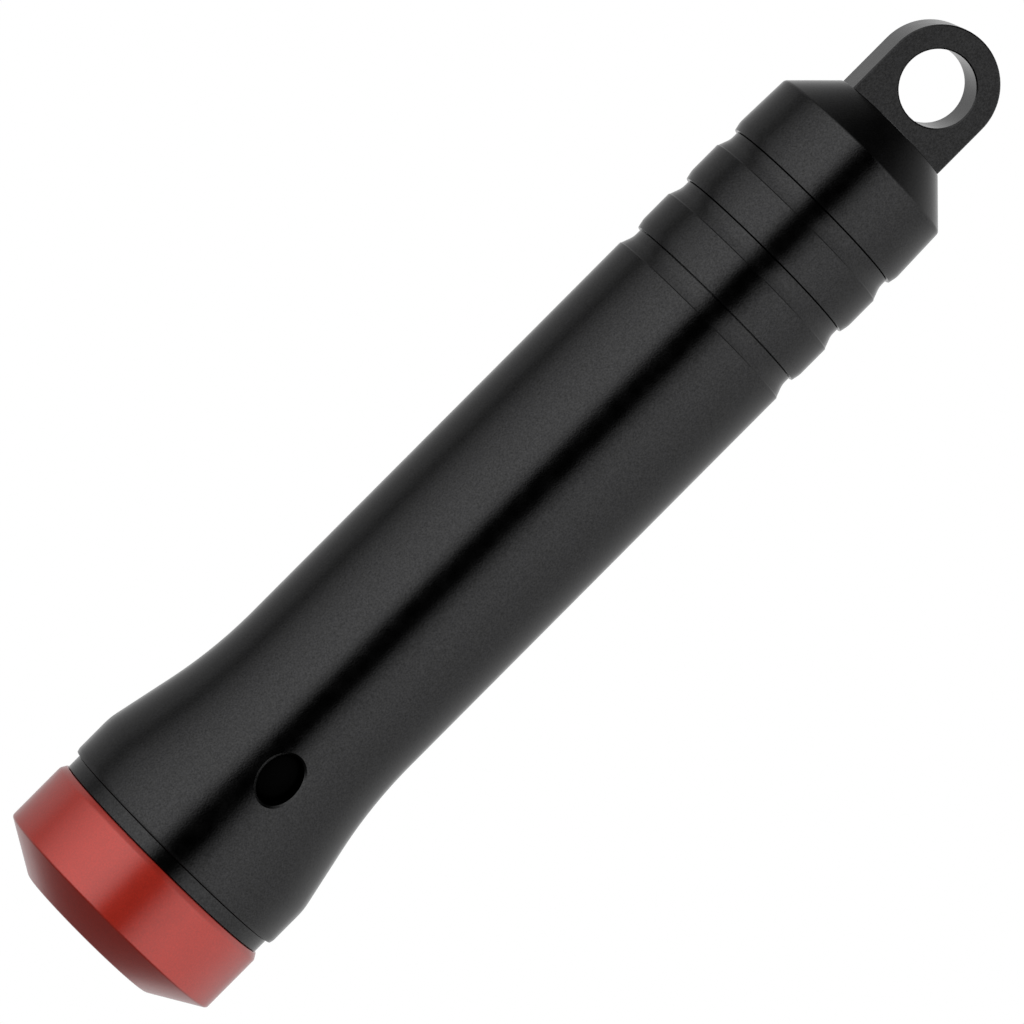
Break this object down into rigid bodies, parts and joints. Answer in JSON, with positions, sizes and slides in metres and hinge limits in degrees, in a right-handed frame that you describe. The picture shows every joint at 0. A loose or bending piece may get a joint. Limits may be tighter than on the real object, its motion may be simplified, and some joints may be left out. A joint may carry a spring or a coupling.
{
  "type": "keychain flashlight",
  "caption": "Small turned-aluminium keychain flashlight with a screw-on bezel, flared head, recessed side switch, screw tail cap and flat key-ring lug.",
  "frame": {"origin": "centre of the nose ring's flat face, on the axis of the tube", "axes": "+Z along the tube's axis from the nose to the key-ring lug; the side switch and the flat of the lug face -Y"},
  "size_m": [0.0174, 0.0174, 0.08],
  "materials": {
    "red_anodised": "red anodised aluminium, fine bead blast",
    "black_anodised": "black anodised aluminium, fine bead blast",
    "lens_glass": "clear polished glass",
    "reflector_plating": "vacuum-plated mirror bowl",
    "black_rubber": "matte black rubber",
    "white_nylon": "natural white nylon",
    "ceramic": "white ceramic",
    "phosphor": "yellow phosphor under silicone",
    "board_white": "white solder mask",
    "board_green": "green solder mask",
    "raw_aluminium": "machined aluminium",
    "red_wire": "red wire insulation",
    "black_wire": "black wire insulation",
    "epoxy": "moulded epoxy",
    "ferrite": "sintered ferrite",
    "capacitor": "ceramic capacitor body",
    "steel": "nickel-plated steel",
    "gold_plate": "gold-plated contact",
    "cell_jacket": "printed shrink sleeve, plain",
    "black_plastic": "black moulded plastic"
  },
  "bodies": {
    "tube": {"reflector": "reflector_plating", "led_spacer": "white_nylon", "led_base": "ceramic", "led_dome": "phosphor", "led_board": "board_white", "heat_sink": "raw_aluminium", "led_wire_positive": "red_wire", "led_wire_negative": "black_wire", "driver_board": "board_green", "driver_chip": "epoxy", "inductor": "ferrite", "capacitor_input": "capacitor", "capacitor_output": "capacitor", "switch_board": "board_green", "switch_body": "black_plastic", "contact_board": "board_green", "contact_holder": "black_plastic", "positive_spring": "gold_plate", "body_tube": "black_anodised", "head_oring": "black_rubber", "tail_oring": "black_rubber"},
    "lens_pack": {"lens": "lens_glass", "lens_seal": "black_rubber"},
    "bezel": {"bezel": "red_anodised"},
    "cell": {"cell_can": "steel", "cell_jacket": "cell_jacket", "cell_seal": "white_nylon", "cell_cover": "steel"},
    "tail_stack": {"tail_spring": "steel", "tail_contact": "gold_plate"},
    "tail_cap": {"tail_cap": "black_anodised"},
    "switch_button": {"switch_plunger": "black_rubber", "switch_stem": "white_nylon"}
  },
  "joints": [
    {"name": "bezel_advance", "type": "slide", "parent": "tube", "child": "lens_pack", "axis": [0, 0, -1], "range_m": [0, 0.0015]},
    {"name": "bezel_twist", "type": "hinge", "parent": "lens_pack", "child": "bezel", "pos_m": [0, 0, 0.004], "axis": [0, 0, -1], "range_deg": [0, 720]},
    {"name": "cell_withdraw", "type": "slide", "parent": "tube", "child": "cell", "axis": [0, 0, 1], "range_m": [0, 0.046]},
    {"name": "cap_advance", "type": "slide", "parent": "cell", "child": "tail_stack", "axis": [0, 0, 1], "range_m": [0, 0.00375], "deforming": ["tail_spring"]},
    {"name": "cap_twist", "type": "hinge", "parent": "tail_stack", "child": "tail_cap", "pos_m": [0, 0, 0.06], "axis": [0, 0, 1], "range_deg": [0, 1800]},
    {"name": "switch_press", "type": "slide", "parent": "tube", "child": "switch_button", "axis": [0, 1, 0], "range_m": [0, 0.0005], "stiffness_N_per_m": 2500, "springref_m": -0.0003}
  ],
  "couplings": [
    {"joint": "bezel_advance", "follows": "bezel_twist", "m_per_rad": 0.00011937},
    {"joint": "cap_advance", "follows": "cap_twist", "m_per_rad": 0.00011937}
  ]
}
